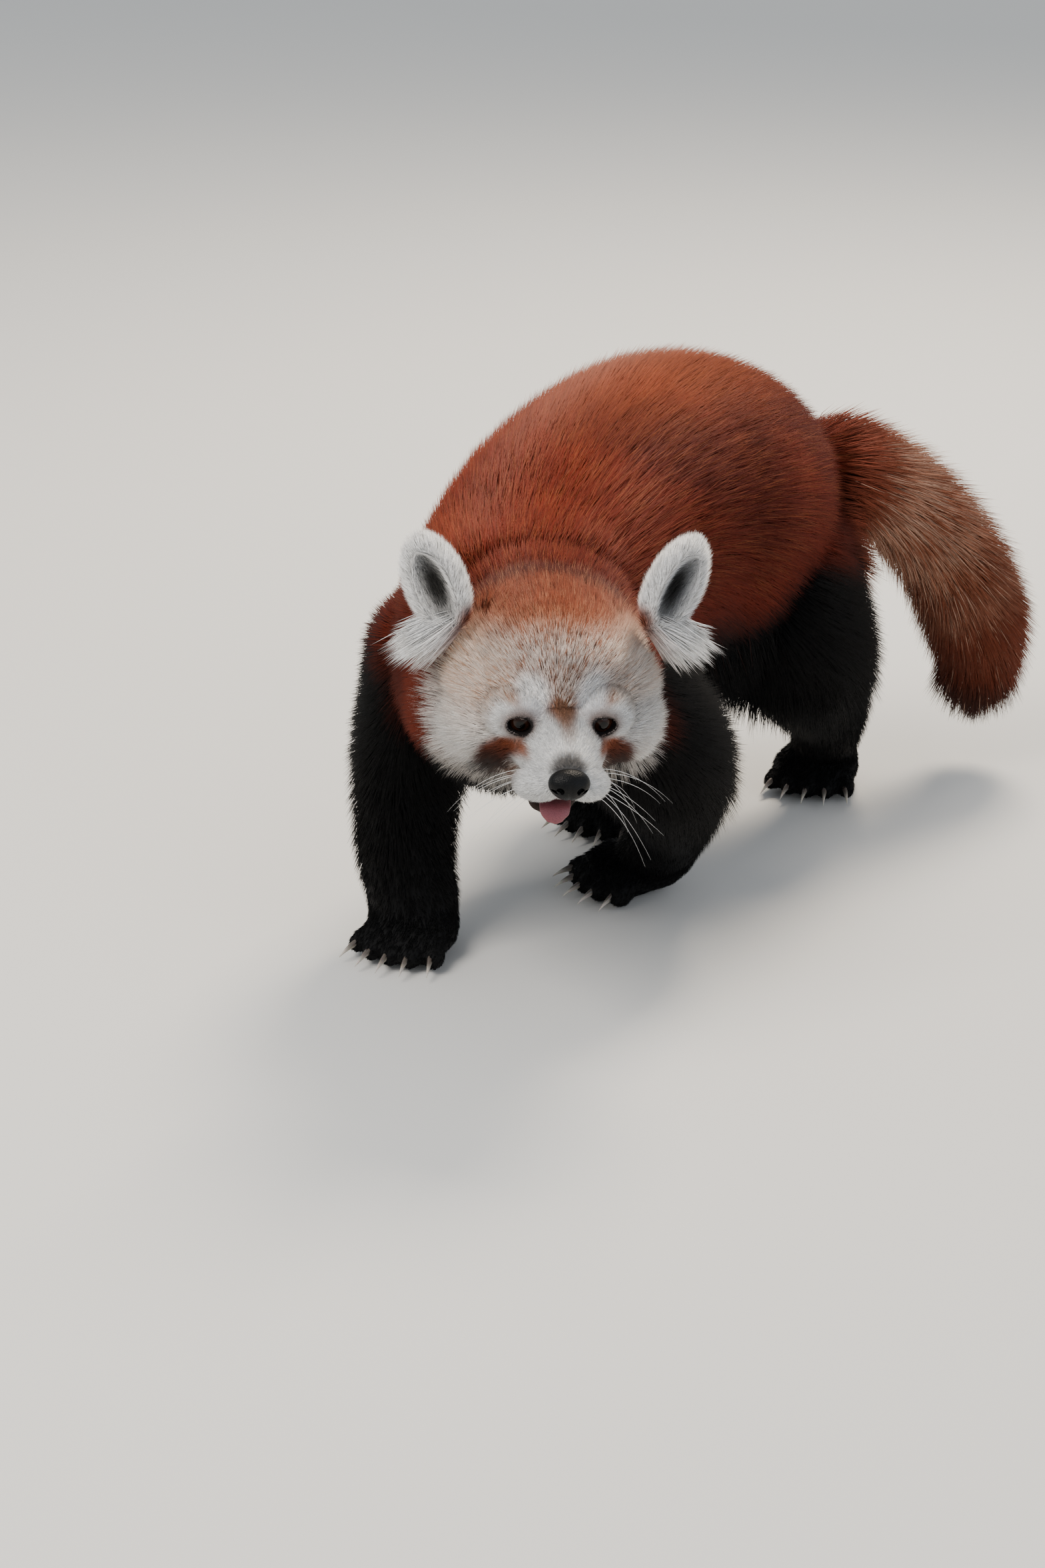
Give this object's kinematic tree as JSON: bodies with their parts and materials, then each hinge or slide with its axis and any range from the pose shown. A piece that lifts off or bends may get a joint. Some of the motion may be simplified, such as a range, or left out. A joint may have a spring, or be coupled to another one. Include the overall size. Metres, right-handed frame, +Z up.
{
  "type": "red panda figure",
  "caption": "Life-size still figure of a red panda walking on its paws, head turned to its left, with cheek ruff, tufted ears, clawed paws and a bushy hanging tail.",
  "frame": {"origin": "middle of the panda's own box, on the floor under it", "axes": "+Z up, -Y the way it walks, +X to its left; the head is turned towards +X"},
  "size_m": [0.2846, 0.622, 0.347],
  "materials": {
    "face_fur": "short dense fur, cream to rust",
    "chin_fur": "short white fur",
    "tongue": "moist pink skin",
    "nose_leather": "black grained leather, slightly moist",
    "eye": "wet dark brown eye, polished",
    "ear_fur": "soft white fur with a dark inner hollow",
    "rust_coat": "long dense rust-red coat",
    "tail_coat": "long bushy rust coat with faint rings",
    "black_coat": "dense black coat",
    "paw_fur": "short black fur with pale horn claws"
  },
  "bodies": {
    "root": {"head": "face_fur", "jaw": "chin_fur", "tongue": "tongue", "nose": "nose_leather", "eye_left": "eye", "eye_right": "eye", "ear_left": "ear_fur", "ear_right": "ear_fur", "neck": "rust_coat", "torso": "rust_coat", "tail_base": "tail_coat", "tail_middle": "tail_coat", "tail_tip": "tail_coat", "front_leg_left": "black_coat", "front_paw_left": "paw_fur", "front_leg_right": "black_coat", "front_paw_right": "paw_fur", "hind_leg_left": "black_coat", "hind_paw_left": "paw_fur", "hind_leg_right": "black_coat", "hind_paw_right": "paw_fur"}
  },
  "joints": []
}
